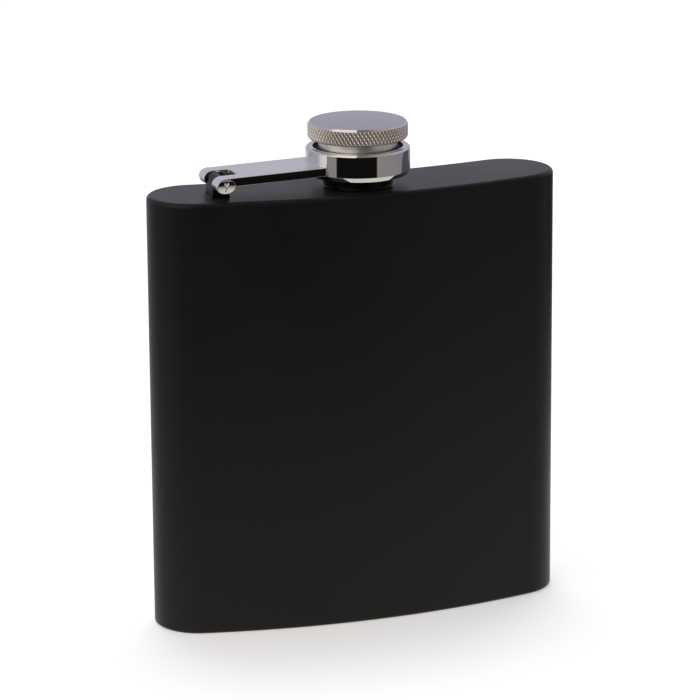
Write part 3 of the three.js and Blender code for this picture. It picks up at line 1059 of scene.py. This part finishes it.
# The table far from the flask: dark where the camera stands and in a strip at the back right.
TABLE = (
    (-180, scaled(COOL, 0.8)),
    (-150, scaled(COOL, 0.4)),
    (-110, scaled(COOL, 0.28)),
    (-68, scaled(WARM, 0.3)),
    (-66, scaled(WARM, 0.006)),
    (22, scaled(WARM, 0.006)),
    (24, scaled(WARM, 0.3)),
    (101, scaled(COOL, 0.27)),
    (103, scaled(COOL, 0.04)),
    (124, scaled(COOL, 0.04)),
    (128, scaled(COOL, 0.25)),
    (180, scaled(COOL, 0.8)),
)


def room_world():
    """Plain white to look at, and a studio with a dark front and a soft light at its left."""
    world = bpy.data.worlds.new("studio")
    world.use_nodes = True
    nodes, links = world.node_tree.nodes, world.node_tree.links
    seen = nodes["Background"]
    seen.inputs["Color"].default_value = (1, 1, 1, 1)
    direction = nodes.new("ShaderNodeTexCoord").outputs["Generated"]
    parts = nodes.new("ShaderNodeSeparateXYZ")
    links.new(direction, parts.inputs["Vector"])
    around = azimuth_ramp(nodes, links, parts.outputs["X"], parts.outputs["Y"], ROOM)
    studio = nodes.new("ShaderNodeBackground")
    links.new(around, studio.inputs["Color"])
    choose = nodes.new("ShaderNodeMixShader")
    links.new(nodes.new("ShaderNodeLightPath").outputs["Is Camera Ray"], choose.inputs["Fac"])
    links.new(studio.outputs["Background"], choose.inputs[1])
    links.new(seen.outputs["Background"], choose.inputs[2])
    links.new(choose.outputs["Shader"], nodes["World Output"].inputs["Surface"])
    bpy.context.scene.world = world


def table_light():
    """The table as the flask sees it: white paper nearby, and the far table beyond it."""
    material, nodes, links, shader, where = new_material("table_light")
    parts = nodes.new("ShaderNodeSeparateXYZ")
    links.new(where, parts.inputs["Vector"])
    far = azimuth_ramp(nodes, links, parts.outputs["X"], parts.outputs["Y"], TABLE)
    nearness = ramp(nodes, links, distance_from_axis(nodes, links, where), 0.11, 0.33, 1.0, 0.0)
    light = nodes.new("ShaderNodeMix")
    light.data_type = "RGBA"
    light.inputs["B"].default_value = (*scaled(WARM, 0.75), 1)
    links.new(far, light.inputs["A"])
    links.new(nearness, light.inputs["Factor"])
    shader.inputs["Base Color"].default_value = (0, 0, 0, 1)
    shader.inputs["Specular IOR Level"].default_value = 0.0
    links.new(light.outputs["Result"], shader.inputs["Emission Color"])
    shader.inputs["Emission Strength"].default_value = 1.0
    return material


LAMP_AZIMUTH = math.radians(160.5)  # behind the flask, so its shadow falls towards the camera
LAMP_ELEVATION = math.radians(70)


def overhead_lamp():
    """A broad lamp high up behind the flask, kept out of the metal's reflections."""
    a, e = LAMP_AZIMUTH, LAMP_ELEVATION
    data = bpy.data.lights.new("overhead_lamp", "SUN")
    data.energy = 0.98
    data.angle = math.radians(28)
    lamp = bpy.data.objects.new("overhead_lamp", data)
    towards = Vector((math.sin(a) * math.cos(e), -math.cos(a) * math.cos(e), math.sin(e)))
    lamp.rotation_euler = towards.to_track_quat("Z", "Y").to_euler()
    lamp.visible_glossy = False
    bpy.context.scene.collection.objects.link(lamp)


def build_stage():
    paper = plain_material("paper_white", (0.85, 0.85, 0.85), 0.47)
    floor = sheet("floor", 0.0, paper)
    floor.visible_diffuse = False
    floor.visible_glossy = False
    below = sheet("table_glow", -0.001, table_light())
    below.visible_camera = False
    below.visible_shadow = False
    room_world()
    overhead_lamp()
    bpy.context.scene.view_settings.view_transform = "Standard"


build_camera()
build_sleeve()
build_top()
build_bottom()
build_neck()
build_head()
build_liner()
build_gasket()
build_ring()
build_snap_ring()
build_arm()
build_lug()
build_pin()
build_braze()
build_stage()
